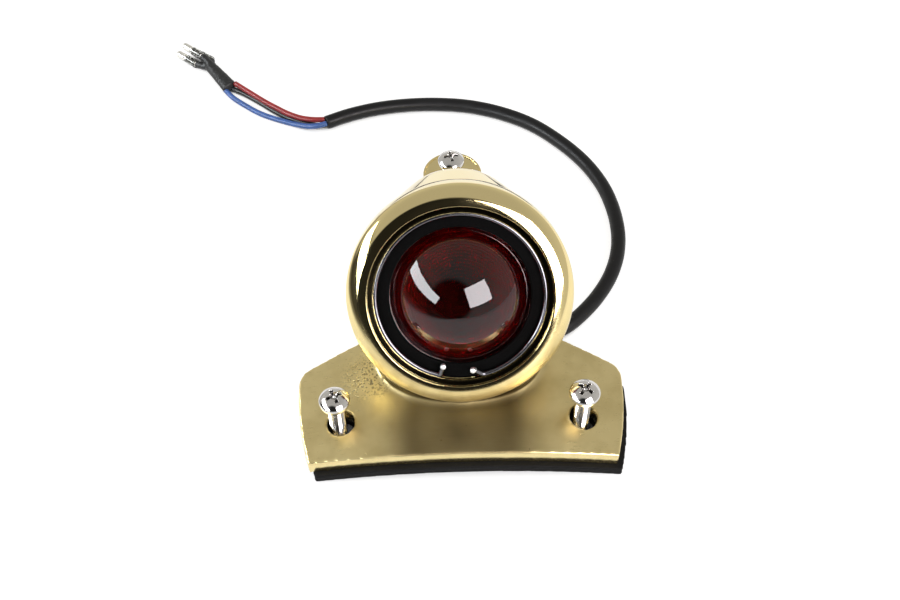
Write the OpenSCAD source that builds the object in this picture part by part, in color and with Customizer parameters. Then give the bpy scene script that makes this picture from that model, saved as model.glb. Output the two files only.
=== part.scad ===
// LED tail lamp for a mudguard: a one-piece cast brass housing with a tilted lens rim, a teardrop
// shell and a curved base on a rubber pad, with its led insert, its cable and its loose screws.
// Millimetres, +Z up, the lens faces -Y. The origin is the middle of the lamp's underside.

/* [Lens rim] */
// Outside diameter of the rolled rim
bezel_d = 68.6; // [62:0.2:76]
// Diameter of the mouth at the front edge of the rim
mouth_d = 55.8; // [53.6:0.2:58]
// How far the rim rolls forward of its widest circle
lip_depth = 4.7; // [3.8:0.1:6]
// Straight band behind the widest circle
rim_band = 5; // [3:0.5:7]
// Angle of the lens axis above the table
lens_tilt = 35; // [28:1:42]
// Height of the centre of the widest circle above the table
lens_height = 44.6; // [43:0.2:52]
// Distance of that centre behind the front edge of the base
lens_setback = 36.1; // [32:0.1:40]

/* [Lens and insert] */
// Bore that the lens and the insert sit in
bore_d = 51.8; // [50:0.2:53]
// Width of the ledge that stops the led board
ledge_w = 2.4; // [1.5:0.1:3.5]
// Thickness of the flange of the lens
flange_t = 1.9; // [1.4:0.1:2.4]
// Width of the flat border between the bullseye dome and the rubber ring
dome_border = 1.3; // [0.6:0.1:4]
// Height of the bullseye dome above the flange
dome_h = 11.4; // [7:0.2:14]
// Number of pressed rings on the back of the lens
lens_rings = 10; // [4:1:14]
// Depth of those rings
lens_ring_depth = 0.5; // [0.2:0.05:0.9]
// Thickness of the rubber ring on the flange of the lens
lens_gasket_t = 0.95; // [0.8:0.05:1.5]
// Width of that rubber ring
lens_gasket_w = 4.35; // [3.5:0.05:5]
// Wire thickness of the snap ring
ring_wire_d = 1.6; // [1.2:0.1:1.8]
// Depth of the groove that the snap ring springs into
groove_depth = 0.5; // [0.4:0.05:0.6]
// Height of the ring between the led board and the lens
spacer_h = 5.4; // [5.3:0.1:6.5]
// Thickness of the led board
board_t = 1.6; // [1:0.2:2]
// Number of leds in the outer ring
tail_led_count = 12; // [8:1:14]
// Number of leds around the middle one
brake_led_count = 6; // [4:1:7]

/* [Shell] */
// Diameter of the round back of the shell
ball_d = 45.4; // [38:0.2:50]
// Distance of the middle of the round back behind the front edge of the base
ball_setback = 59; // [54:0.5:64]
// Height of the middle of the round back
ball_height = 43; // [36:0.5:46]
// Diameter of the foot of the shell on the base
foot_d = 47; // [44:0.5:50]
// Distance of the middle of the foot behind the front edge of the base
foot_setback = 41.5; // [38:0.5:45]
// Wall of the casting
wall = 3; // [2.4:0.1:4]

/* [Base] */
// Greatest width of the base, across the shoulders
base_w = 103.2; // [98:0.4:110]
// Radius of the bowed sides
side_r = 100; // [90:5:160]
// Distance of the shoulders behind the front edge
shoulder_y = 28; // [24:0.5:34]
// Radius of the rounded shoulder corners
shoulder_r = 6; // [3:0.5:9]
// Slope of the edge that runs from a shoulder to the shell
shoulder_slope = 27.5; // [20:0.5:35]
// Thickness of the cast base
base_t = 5.4; // [4:0.2:7]
// Thickness of the rubber pad under the base
pad_t = 3; // [2:0.2:4]
// How far the pad has slipped to the right
pad_shift_x = 1.6; // [0:0.1:2]
// How far the pad has slipped to the front
pad_shift_y = 1.8; // [0:0.1:2]
// Radius of the mudguard from front to back
guard_r = 450; // [380:10:700]
// Radius of the mudguard from side to side
guard_crown_r = 290; // [240:10:400]

/* [Screws and tail] */
// Thread diameter of the mounting screws
screw_d = 5; // [4:0.5:6]
// Diameter of the screw heads
head_d = 9.5; // [8:0.1:10.5]
// Height of the screw heads
head_h = 3.7; // [2.8:0.1:4.2]
// Length of the front screws under the head
front_screw_len = 22; // [20:1:30]
// Length of the rear screw under the head
rear_screw_len = 20; // [18:1:30]
// Diameter of the holes for the screws
hole_d = 8.6; // [7:0.2:9]
// Distance of the front holes in from the widest part of the sides
front_hole_inset = 13.9; // [11:0.1:16]
// Distance of the front holes behind the front edge
front_hole_y = 12.7; // [10:0.1:16]
// Distance of the rear hole behind the front edge
rear_hole_y = 118; // [112:0.5:124]
// Diameter of the round tail lug
lug_d = 21.4; // [20.4:0.2:24]
// Height of the top of the tail lug
lug_h = 13; // [12:0.2:15]
// Depth of the pocket in the tail lug
pocket_depth = 1; // [0.5:0.1:2]
// Wall left around the pocket
pocket_wall = 0.8; // [0.6:0.1:1.2]

/* [Cable] */
// Diameter of the cable sheath
sheath_d = 5.2; // [4:0.1:6]
// Diameter of each wire
wire_d = 2.1; // [1.6:0.1:2.2]
// Diameter of a terminal
bullet_d = 3; // [2.6:0.1:3.2]
// Length of a terminal
bullet_len = 11.6; // [10:0.2:13]
// Length of the plug at the end of a terminal
plug_len = 6; // [5:0.2:7]
// Wall of the clear sleeve on a terminal
sleeve_wall = 0.2; // [0.15:0.05:0.3]

/* [Hidden] */

$fn = 96;
HULL_FN = 32; // sides of the round children of a hull
BIG_FN = 360; // sides of the large mudguard curves

// Clearances between pieces that touch
seat_gap = 0.05;
bore_gap = 0.25;
lean_gap = 0.3;

// Stations along the lens axis, counted forward from the widest circle of the rim
mouth_taper = 1.1;
ring_w = lip_depth - mouth_taper - ring_wire_d / 2 - 0.1;
gasket_front = ring_w - ring_wire_d / 2 - seat_gap;
gasket_back = gasket_front - lens_gasket_t;
flange_front = gasket_back - seat_gap;
flange_back = flange_front - flange_t;
spacer_front = flange_back - seat_gap;
spacer_back = spacer_front - spacer_h;
board_front = spacer_back - seat_gap;
board_back = board_front - board_t;
ledge_at = board_back - seat_gap;

insert_r = bore_d / 2 - bore_gap;
ring_r = bore_d / 2 + groove_depth - 0.1 - ring_wire_d / 2;
ledge_r = bore_d / 2 - ledge_w;
window_r = insert_r - lens_gasket_w;
ring_gap_angle = 20;
dome_r = window_r - dome_border;
sphere_r = (pow(dome_r, 2) + pow(dome_h, 2)) / (2 * dome_h);

// Plan of the base, counted back from its front edge
half_w = base_w / 2;
front_hole_x = half_w - front_hole_inset;
lug_r = lug_d / 2;
neck_r = foot_d / 2 + 0.5;
shoulder_dir = [-cos(shoulder_slope), sin(shoulder_slope)];
shoulder_centre = [half_w - shoulder_r, shoulder_y];
shoulder_end = shoulder_centre + shoulder_r * [sin(shoulder_slope), cos(shoulder_slope)];
neck_joint = shoulder_end + shoulder_dir * (shoulder_end.x - neck_r) / cos(shoulder_slope);
pocket_floor = lug_h - pocket_depth;

// The mudguard's wheel centre, so that the pad rests on its front corners and its tail end
pad_front = -pad_shift_y;
pad_tail = rear_hole_y + lug_r - pad_shift_y;
corner_x = side_x(0) + pad_shift_x;
corner_drop = guard_crown_r - sqrt(pow(guard_crown_r, 2) - pow(corner_x, 2));
corner_reach = guard_r - corner_drop;
wheel_y = (pow(pad_tail, 2) - pow(pad_front, 2) - pow(guard_r, 2) + pow(corner_reach, 2))
    / (2 * (pad_tail - pad_front));
wheel_z = -sqrt(pow(guard_r, 2) - pow(pad_tail - wheel_y, 2));

// The lamp stands with the middle of its box on the origin
lamp_x = -pad_shift_x / 2;
lamp_y = -(rear_hole_y + lug_r + pad_front) / 2;

// Depth of a cut that runs right through the base, and where it starts below the table
cut_h = 40;
cut_start = -5;

// Tail of the shell, outside and inside
tail_inset_y = 2.5;
tail_inset_r = 2.7;
tail_h = 9;
cavity_tail_y = 97.5;
cavity_tail_r = 5;
cavity_tail_h = 16;

// Leds and the small parts on the board
spacer_wall = 2;
led_d = 5;
led_h = 4.9;
led_flange_d = 5.7;
led_flange_h = 0.9;
led_margin = 2.4;
tail_led_circle_r = insert_r - spacer_wall - led_margin - led_flange_d / 2;
brake_led_circle_r = tail_led_circle_r - 1.5 * led_flange_d;
joint_spacing = 6;
joint_y = -4;
joint_h = 0.8;
resistor_l = 3.2;
resistor_w = 1.6;
resistor_h = 0.6;
resistor_pitch = 8;
resistor_row_y = 7;
resistor_row_gap = 5;
diode_l = 4.6;
diode_w = 2.6;
diode_h = 2.2;
diode_x = 8;
diode_y = -13;

// Screw details
recess_w = 1.1;
recess_span = 5.2;
recess_depth = 1.9;
tip_chamfer = 0.5;
crown_h = head_h * 0.62;

// Where each loose screw leans in its hole, and the turn of its cross recess
left_lean = 138;
left_turn = 25;
right_lean = 106;
right_turn = 50;
rear_lean = 250;
rear_turn = 10;

// Middle of the back of the led board
board_place = [lamp_x, lamp_y + lens_setback - board_back * cos(lens_tilt),
    lens_height + board_back * sin(lens_tilt)];

// Route of the cable: it starts at a place counted from the board, goes down inside the shell, out
// under the right edge of the base and round the back
sheath_entry = [[-3.7, 0.1, -13.5], [-3.7, 0.1, -17]];
sheath_run = [
    [-3, -20.6, 15.6], [1.5, -19.4, 8.8], [8, -17.7, 4.3],
    [16, -15.5, 2.7], [24, -13.5, 2.7], [31, -11.5, 2.7], [37.5, -8, 2.7], [45, -0.5, 2.7],
    [50.5, 7, 2.7], [54.5, 14.5, 2.7], [57.5, 23.5, 2.7], [58.8, 33.5, 2.7], [58.2, 45, 2.7],
    [55.5, 57, 2.7], [50, 69, 2.7], [42, 80, 2.7], [32, 90, 2.7], [20.5, 97, 2.7],
    [8, 101.5, 2.7], [-4.5, 103.3, 2.7], [-17, 103.3, 2.7], [-29, 101.7, 2.7], [-40, 98.5, 2.7],
    [-49.7, 94.1, 2.7]
];
// Routes of the wires beyond the end of the sheath
red_route = [
    [-50.2, 95.1, 3.4], [-55, 95.2, 3.5], [-60, 96.6, 3.3], [-65, 99.2, 3.3], [-69.6, 102.5, 3.3],
    [-75, 106.7, 3.3], [-81.5, 112.4, 3.3], [-87.7, 117.9, 3.3]
];
black_route = [
    [-49.8, 94.1, 1.4], [-54, 94.4, 1.2], [-59, 96.2, 1.1], [-65.5, 99.4, 1.1], [-71.5, 103.7, 1.1],
    [-77, 108.4, 1.1], [-83.5, 113.6, 1.1], [-89.5, 117.6, 1.1]
];
blue_route = [
    [-49.3, 93, 3.3], [-53.5, 92.1, 2.9], [-58, 93.2, 2], [-63.5, 95.7, 1.2], [-71, 99, 1.1],
    [-77, 102.3, 1.1], [-82.3, 106.4, 1.1], [-88, 111.3, 1.3], [-91.8, 116, 1.6]
];
// Routes of the same wires from the board to the start of the sheath, counted from the board
red_lead_route = [
    [-6, -1.6, -3.9], [-6.4, 0.9, -5.6], [-6.2, 2.3, -8], [-5.2, 1.7, -10.7], [-4.8, 0.7, -13.5]
];
black_lead_route = [
    [0, -1.6, -3.9], [-0.2, 1.1, -5.6], [-1, 2.6, -8], [-2.1, 1.9, -10.7], [-2.6, 0.7, -13.5]
];
blue_lead_route = [
    [6, -1.6, -3.9], [5.6, 0.7, -5.5], [2.8, 1.3, -7.5], [-2.2, -0.5, -10.5], [-3.7, -1.2, -13.5]
];
// The wrap over the wires, and where each terminal starts
wrap_start = [-90, 117, 2.3];
wrap_start_size = [6.4, 2, 4.4];
wrap_end = [-99, 129.5, 2.8];
wrap_end_size = [4.6, 3, 4.8];
bullet_heading = 140;
red_bullet_at = [-99.2, 134.4, 1.75];
blue_bullet_at = [-105.1, 132.2, 1.75];
black_bullet_at = [-102.2, 133.3, 4.95];
finger_d = 2.9;

// Half the width of the base at a distance y behind its front edge
function side_x(y) = half_w - side_r + sqrt(pow(side_r, 2) - pow(y - shoulder_y, 2));

// Points on a circle from angle a to angle b
function arc(centre, r, a, b, steps) =
    [for (i = [0:steps]) centre + r * [cos(a + (b - a) * i / steps), sin(a + (b - a) * i / steps)]];

function unit(v) = v / norm(v);

// A route that is counted from the board
function from_board(route) = [for (p = route) board_place + p];

// Direction of a route at each of its points
function headings(p) =
    [for (i = [0:len(p) - 1]) unit(p[min(i + 1, len(p) - 1)] - p[max(i - 1, 0)])];

// A sideways direction carried along a route without twist
function square_to(v, t) = unit(v - (v * t) * t);
function carried(t, side) =
    [for (i = 0, s = square_to(side, t[0]); i < len(t);
        i = i + 1, s = i < len(t) ? square_to(s, t[i]) : s) s];

// Everything that belongs to the lamp itself, in the plan that counts from the front edge
module in_lamp() translate([lamp_x, lamp_y, 0]) children();

// Pieces turned about the lens axis, at a station w along it
module on_axis(w = 0)
    in_lamp() translate([0, lens_setback, lens_height]) rotate([90 - lens_tilt, 0, 0])
        translate([0, 0, w]) children();

module ring(outer_r, inner_r, h) difference() {
    cylinder(r = outer_r, h = h);
    translate([0, 0, -1]) cylinder(r = inner_r, h = h + 2);
}

// A round cord along a route
module cord(route, d, sides, side = [0, 0, 1]) {
    t = headings(route);
    s = carried(t, side);
    points = [for (i = [0:len(route) - 1], k = [0:sides - 1])
        let (a = 360 * k / sides) route[i] + d / 2 * (cos(a) * s[i] + sin(a) * cross(t[i], s[i]))];
    walls = [for (i = [0:len(route) - 2], k = [0:sides - 1])
        let (a = i * sides + k, b = i * sides + (k + 1) % sides) [a, a + sides, b + sides, b]];
    start = [for (k = [0:sides - 1]) k];
    finish = [for (k = [0:sides - 1]) len(points) - 1 - k];
    polyhedron(points = points, faces = concat(walls, [start, finish]), convexity = 6);
}

// A round bar from one point to another
module bar(a, b, d) {
    v = b - a;
    translate(a) rotate([0, acos(v.z / norm(v)), atan2(v.y, v.x)]) cylinder(d = d, h = norm(v));
}

// The curved surface of a mudguard, raised by lift, as a thick slab below it
module mudguard(lift) {
    slab = 60;
    half_span = 80;
    half_angle = 13;
    translate([0, wheel_y, wheel_z]) rotate([0, -90, 0]) rotate([0, 0, -half_angle])
        rotate_extrude(angle = 2 * half_angle, $fn = BIG_FN) intersection() {
            translate([guard_r - guard_crown_r, 0]) circle(r = guard_crown_r + lift, $fn = BIG_FN);
            translate([guard_r - slab, -half_span]) square([2 * slab, 2 * half_span]);
        }
}

// Two circles on the centre line joined by their common tangents
module taper_plan(front_y, front_r, back_y, back_r) {
    lean = asin((front_r - back_r) / (back_y - front_y));
    out = [cos(lean), sin(lean)];
    right = [[0, front_y] + front_r * out, [0, back_y] + back_r * out];
    translate([0, front_y]) circle(r = front_r);
    translate([0, back_y]) circle(r = back_r);
    polygon([right[0], right[1], [-right[1].x, right[1].y], [-right[0].x, right[0].y]]);
}

// Plan of the base: bowed sides, round shoulders, and a neck that runs back to the lug
module base_plan() {
    side_steps = 10;
    corner_steps = 8;
    right = concat(
        [for (i = [0:side_steps]) let (y = shoulder_y * i / side_steps) [side_x(y), y]],
        arc(shoulder_centre, shoulder_r, 0, 90 - shoulder_slope, corner_steps),
        [neck_joint]);
    left = [for (i = [len(right) - 1:-1:0]) [-right[i].x, right[i].y]];
    polygon(concat(right, left));
    taper_plan(foot_setback, neck_r, rear_hole_y, lug_r);
}

// Plan of the opening under the shell
module opening_plan()
    taper_plan(foot_setback, foot_d / 2 - wall, cavity_tail_y, cavity_tail_r);

module screw_places() {
    for (side = [-1, 1]) translate([side * front_hole_x, front_hole_y, 0]) children();
    translate([0, rear_hole_y, 0]) children();
}

// Half section of the rolled rim: a quarter ellipse from the widest circle in to the mouth
module rim_section() {
    steps = 18;
    roll = [for (i = [0:steps]) let (a = 90 * i / steps)
        [mouth_d / 2 + (bezel_d - mouth_d) / 2 * cos(a), lip_depth * sin(a)]];
    polygon(concat(
        [[bore_d / 2 - 1, -rim_band - 3], [bezel_d / 2 - 3, -rim_band - 3],
            [bezel_d / 2, -rim_band]],
        roll, [[bore_d / 2 - 1, lip_depth - mouth_taper]]));
}

// Teardrop skin drawn tight over the rim, the round back, the foot and the tail. With a wall it is
// the hollow inside, which stops short of the lug and runs out through the underside.
module teardrop(inset) {
    inside = inset > 0;
    hull() {
        translate([0, lens_setback, lens_height]) rotate([90 - lens_tilt, 0, 0])
            translate([0, 0, inside ? ledge_at - 1 : -rim_band])
                cylinder(r = inside ? ledge_r : bezel_d / 2 - 0.3, h = inside ? 1.2 : rim_band - 1,
                    $fn = 2 * HULL_FN);
        translate([0, ball_setback, ball_height]) sphere(d = ball_d - 2 * inset, $fn = 40);
        translate([0, foot_setback, inside ? -2 : 1])
            cylinder(r = foot_d / 2 - inset, h = 5, $fn = 2 * HULL_FN);
        if (inside) translate([0, cavity_tail_y, -2])
            cylinder(r = cavity_tail_r, h = cavity_tail_h + 2, $fn = HULL_FN);
        else translate([0, rear_hole_y - tail_inset_y, 1])
            cylinder(r = lug_r - tail_inset_r, h = tail_h, $fn = HULL_FN);
    }
}

module housing() color("goldenrod") difference() {
    union() {
        in_lamp() intersection() {
            translate([0, 0, cut_start]) linear_extrude(cut_h) base_plan();
            mudguard(pad_t + base_t);
        }
        in_lamp() teardrop(0);
        in_lamp() translate([0, rear_hole_y, 0]) cylinder(r = lug_r, h = lug_h);
        on_axis() rotate_extrude() rim_section();
    }
    in_lamp() mudguard(pad_t);
    in_lamp() teardrop(wall);
    on_axis(ledge_at) cylinder(d = bore_d, h = lip_depth - mouth_taper - ledge_at);
    on_axis(lip_depth - mouth_taper) cylinder(d1 = bore_d + 1, d2 = mouth_d, h = mouth_taper);
    on_axis(lip_depth) cylinder(d = mouth_d, h = bezel_d);
    on_axis(ring_w) rotate_extrude() translate([ring_r, 0]) circle(d = ring_wire_d + 0.2, $fn = 24);
    in_lamp() screw_places() translate([0, 0, cut_start]) cylinder(d = hole_d, h = cut_h);
    in_lamp() translate([0, rear_hole_y, pocket_floor])
        cylinder(r = lug_r - pocket_wall, h = bezel_d);
}

// Pressed glass: rings on the back that scatter the light of the leds, and the bullseye in front
module lens() color("darkred") on_axis() rotate_extrude($fn = 128) {
    steps = 20;
    ring_pitch = dome_r / (lens_rings + 1);
    dome_edge = asin(dome_r / sphere_r);
    rings = [for (i = [1:lens_rings], k = [0, 1])
        [ring_pitch * (i + k / 2), flange_back + k * lens_ring_depth]];
    dome = [for (i = [0:steps]) let (a = dome_edge * (1 - i / steps))
        [sphere_r * sin(a), flange_front + dome_h - sphere_r + sphere_r * cos(a)]];
    polygon(concat([[0, flange_back]], rings,
        [[dome_r, flange_back], [insert_r, flange_back], [insert_r, flange_front]], dome));
}

module lens_gasket() color("#1c1c1c")
    on_axis(gasket_back) ring(insert_r, window_r, lens_gasket_t);

// Spring wire ring with both ends bent up off the rubber, towards the viewer
module snap_ring() color("dimgray") on_axis(ring_w) {
    first = -90 + ring_gap_angle / 2;
    last = 270 - ring_gap_angle / 2;
    first_end = [-1.6, 1.6, 2.4];
    last_end = [0.5, 3.2, 2.6];
    rotate([0, 0, first]) rotate_extrude(angle = last - first)
        translate([ring_r, 0]) circle(d = ring_wire_d, $fn = 24);
    for (end = [[first, first_end], [last, last_end]]) {
        foot = [ring_r * cos(end[0]), ring_r * sin(end[0]), 0];
        translate(foot) sphere(d = ring_wire_d + 0.1, $fn = 24);
        bar(foot, foot + end[1], ring_wire_d, $fn = 24);
    }
}

module spacer_ring() color("#2b2b2b") on_axis(spacer_back)
    ring(insert_r, insert_r - spacer_wall, spacer_h);

module led_board() color("darkgreen") on_axis(board_back) cylinder(r = insert_r, h = board_t);

module led() rotate_extrude($fn = 32) polygon(concat(
    [[0, 0], [led_flange_d / 2, 0], [led_flange_d / 2, led_flange_h], [led_d / 2, led_flange_h]],
    [for (a = [0:15:90]) [led_d / 2 * cos(a), led_h - led_d / 2 + led_d / 2 * sin(a)]]));

module tail_leds() color("firebrick") on_axis(board_front)
    for (i = [0:tail_led_count - 1]) rotate([0, 0, 360 * i / tail_led_count])
        translate([tail_led_circle_r, 0, 0]) led();

module brake_leds() color("crimson") on_axis(board_front) {
    led();
    for (i = [0:brake_led_count - 1]) rotate([0, 0, 30 + 360 * i / brake_led_count])
        translate([brake_led_circle_r, 0, 0]) led();
}

// A small part on the back of the board, with its middle at x, y
module chip(x, y, size) translate([x - size.x / 2, y - size.y / 2, -size.z]) cube(size);

module resistors() color("#202020") on_axis(board_back)
    for (i = [-1.5:1.5], row = [0, 1])
        chip(i * resistor_pitch, resistor_row_y + row * resistor_row_gap,
            [resistor_l, resistor_w, resistor_h]);

module diodes() color("#303030") on_axis(board_back)
    for (side = [-1, 1]) chip(side * diode_x, diode_y, [diode_l, diode_w, diode_h]);

module solder_joints() color("silver") on_axis(board_back - joint_h)
    for (i = [-1:1]) translate([i * joint_spacing, joint_y, 0])
        cylinder(d1 = wire_d, d2 = 1.6 * wire_d, h = joint_h, $fn = 32);

module base_gasket() color("#1a1a1a") in_lamp() difference() {
    translate([pad_shift_x, -pad_shift_y, 0]) intersection() {
        translate([0, 0, cut_start]) linear_extrude(cut_h) base_plan();
        translate([-pad_shift_x, pad_shift_y, 0]) mudguard(pad_t);
    }
    mudguard(0);
    translate([0, 0, cut_start]) linear_extrude(cut_h) opening_plan();
    screw_places() translate([0, 0, cut_start]) cylinder(d = hole_d, h = cut_h);
}

// Pan head screw standing on its tip, with a cross recess in a domed head
module pan_screw(length) {
    crown_r = (pow(head_d / 2, 2) + pow(crown_h, 2)) / (2 * crown_h);
    steps = 12;
    crown = asin(head_d / 2 / crown_r);
    difference() {
        rotate_extrude() polygon(concat(
            [[0, 0], [screw_d / 2 - tip_chamfer, 0], [screw_d / 2, tip_chamfer],
                [screw_d / 2, length], [head_d / 2, length],
                [head_d / 2, length + head_h - crown_h]],
            [for (i = [1:steps]) let (a = crown * (1 - i / steps))
                [crown_r * sin(a), length + head_h - crown_r + crown_r * cos(a)]]));
        for (turn = [0, 90]) rotate([0, 0, turn])
            translate([-recess_span / 2, -recess_w / 2, length + head_h - recess_depth])
                cube([recess_span, recess_w, head_h]);
    }
}

// A loose screw that stands in a hole and leans on the hole's wall, on the side given by an angle
module loose_screw(hole, length, lean, turn) {
    slack = (hole_d - screw_d) / 2 - lean_gap;
    in_lamp() translate([hole.x + slack * cos(lean), hole.y + slack * sin(lean), 0])
        rotate([0, 0, turn]) pan_screw(length);
}

module front_left_screw() color("silver")
    loose_screw([-front_hole_x, front_hole_y], front_screw_len, left_lean, left_turn);

module front_right_screw() color("silver")
    loose_screw([front_hole_x, front_hole_y], front_screw_len, right_lean, right_turn);

module rear_screw() color("silver")
    loose_screw([0, rear_hole_y], rear_screw_len, rear_lean, rear_turn);

module red_lead() color("red") cord(from_board(red_lead_route), wire_d, 8, [1, 0, 0]);
module black_lead() color("#222222") cord(from_board(black_lead_route), wire_d, 8, [1, 0, 0]);
module blue_lead() color("royalblue") cord(from_board(blue_lead_route), wire_d, 8, [1, 0, 0]);
module cable_sheath() color("#181818")
    cord(concat(from_board(sheath_entry), sheath_run), sheath_d, 10, [0, -1, 0]);
module red_wire() color("red") cord(red_route, wire_d, 8);
module black_wire() color("#222222") cord(black_route, wire_d, 8);
module blue_wire() color("royalblue") cord(blue_route, wire_d, 8);

// Flat wrap over the three wires that narrows into a short finger for each terminal
module heat_shrink() color("#161616") {
    turn = atan2(wrap_end.y - wrap_start.y, wrap_end.x - wrap_start.x) - 90;
    hull() {
        translate(wrap_start) rotate([0, 0, turn]) scale(wrap_start_size) sphere(d = 1, $fn = 24);
        translate(wrap_end) rotate([0, 0, turn]) scale(wrap_end_size) sphere(d = 1, $fn = 24);
    }
    for (at = [red_bullet_at, blue_bullet_at, black_bullet_at])
        bar(wrap_end + [0, 0, at.z - wrap_end.z] * 0.6, at, finger_d, $fn = 32);
}

// Round terminal lying along its heading: a crimped barrel and a round-nosed plug with a waist
module bullet(at) {
    r = bullet_d / 2;
    barrel = bullet_len - plug_len;
    waist = 0.5;
    translate(at) rotate([0, 90, bullet_heading]) rotate_extrude($fn = 32) polygon(concat(
        [[0, 0], [r - seat_gap, 0], [r - seat_gap, barrel], [r - waist, barrel + waist],
            [r - waist, barrel + 2 * waist], [r, barrel + 3 * waist], [r, bullet_len - r]],
        [for (a = [15:15:90]) [r * cos(a), bullet_len - r + r * sin(a)]]));
}

module sleeve(at) translate(at) rotate([0, 90, bullet_heading])
    ring(bullet_d / 2 + sleeve_wall, bullet_d / 2, bullet_len - plug_len);

module red_bullet() color("gold") bullet(red_bullet_at);
module black_bullet() color("gold") bullet(black_bullet_at);
module blue_bullet() color("gold") bullet(blue_bullet_at);
module red_sleeve() color("white", 0.4) sleeve(red_bullet_at);
module black_sleeve() color("white", 0.4) sleeve(black_bullet_at);
module blue_sleeve() color("white", 0.4) sleeve(blue_bullet_at);

housing();
lens();
lens_gasket();
snap_ring();
spacer_ring();
led_board();
tail_leds();
brake_leds();
resistors();
diodes();
solder_joints();
base_gasket();
front_left_screw();
front_right_screw();
rear_screw();
red_lead();
black_lead();
blue_lead();
cable_sheath();
red_wire();
black_wire();
blue_wire();
heat_shrink();
red_bullet();
black_bullet();
blue_bullet();
red_sleeve();
black_sleeve();
blue_sleeve();
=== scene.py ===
"""The looks of a brass led tail lamp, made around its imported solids.

Sizes named in millimetres are turned into metres with MM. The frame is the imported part's own: the
lens faces -Y, +Z is up and the origin is the middle of the lamp's underside.
"""

import math

import bmesh
import bpy
import numpy as np
from bpy.props import FloatProperty, FloatVectorProperty, IntProperty, PointerProperty
from mathutils import Matrix, Vector, noise


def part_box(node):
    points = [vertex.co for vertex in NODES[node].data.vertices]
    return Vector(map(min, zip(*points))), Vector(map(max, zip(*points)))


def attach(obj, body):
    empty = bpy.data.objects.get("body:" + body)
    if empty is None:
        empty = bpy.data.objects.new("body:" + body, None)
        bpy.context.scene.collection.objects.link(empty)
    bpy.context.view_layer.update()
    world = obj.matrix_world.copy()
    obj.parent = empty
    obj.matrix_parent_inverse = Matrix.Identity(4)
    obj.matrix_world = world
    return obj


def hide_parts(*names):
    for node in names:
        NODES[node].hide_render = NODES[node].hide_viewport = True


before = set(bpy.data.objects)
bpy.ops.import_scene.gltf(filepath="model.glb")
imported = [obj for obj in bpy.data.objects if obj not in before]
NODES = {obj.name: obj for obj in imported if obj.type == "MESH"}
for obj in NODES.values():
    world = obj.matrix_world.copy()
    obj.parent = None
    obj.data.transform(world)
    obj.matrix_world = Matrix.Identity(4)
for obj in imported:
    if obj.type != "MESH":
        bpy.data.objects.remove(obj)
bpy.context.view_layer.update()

bl_info = {
    "name": "Brass Tail Lamp",
    "version": (1, 0, 0),
    "blender": (4, 5, 0),
    "location": "View3D > Sidebar > Tail Lamp",
    "description": "Gives the packed solids of a brass tail lamp their shapes, finishes and studio",
    "category": "Object",
}

MM = 0.001

# The lens axis: W counts along it from the widest circle of the rim, in millimetres
LENS_CENTRE = Vector((-0.8, -27.35, 44.6)) * MM
LENS_TILT = math.radians(35)
ON_AXIS = Matrix.Translation(LENS_CENTRE) @ Matrix.Rotation(math.pi / 2 - LENS_TILT, 4, "X")

# Rim and bore: the lip rolls to a knee, then a flat face leads to the mouth. The casting is drawn
# in under the turned rim by the share SINK.
BEZEL_R = 34.3
MOUTH_R = 27.9
BORE_R = 25.9
LIP_DEPTH = 4.7
LIP_FACE_W = 4.55
LIP_FACE_WIDTH = 2.2
LIP_KNEE = 2.9
MOUTH_TAPER = 1.1
BAND_BACK_W = -5.2
SINK = 0.2

# Snap ring: its turn round the bore in degrees, the bends of its right and left ends from there,
# and the stubs that stand up from the bends
RING_W = 2.7
RING_R = 25.5
RING_WIRE_R = 0.8
RING_START, RING_TURN = -75, 330
RING_BENDS = (Vector((-3.3, 2.2, 1.3)), Vector((1, 3.6, 1.3)))
RING_STUB = Vector((0, 0, 1.7))
GROOVE_R = 0.9

# Lens and its rubber
INSERT_R = 25.65
FLANGE_W = (-1.05, 0.85)
GASKET_W = (0.9, 1.85)
WINDOW_R = 21.3
DOME_R = 20
DOME_H = 11.4

# The mudguard that the base is curved to: a ring of crown radius about a wheel
WHEEL_Y = -15.531
WHEEL_Z = -443.015
GUARD_R = 450
CROWN_R = 290
MIDDLE_X = -0.8
PLATE_LIFT = 8.4

# The pocket in the tail lug
LUG_Y = 54.55
LUG_R = 10.7
LUG_TOP = 13
POCKET_R = 9.9

# Screws: the body of each one's solid and the turn of its cross recess, in degrees
SCREWS = {
    "front_left_screw": ("left_screw", 25),
    "front_right_screw": ("right_screw", 50),
    "rear_screw": ("tail_screw", 10),
}
SCREW_R = 2.5
THREAD_ROOT_R = 2.06
THREAD_PITCH = 0.8
HEAD_R = 4.75
HEAD_H = 3.7
HEAD_SIDE_H = 1.4
RECESS_DEPTH = 2.1
RECESS_WING = (2.5, 0.5)
RECESS_EYE_R = 1.3

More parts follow.
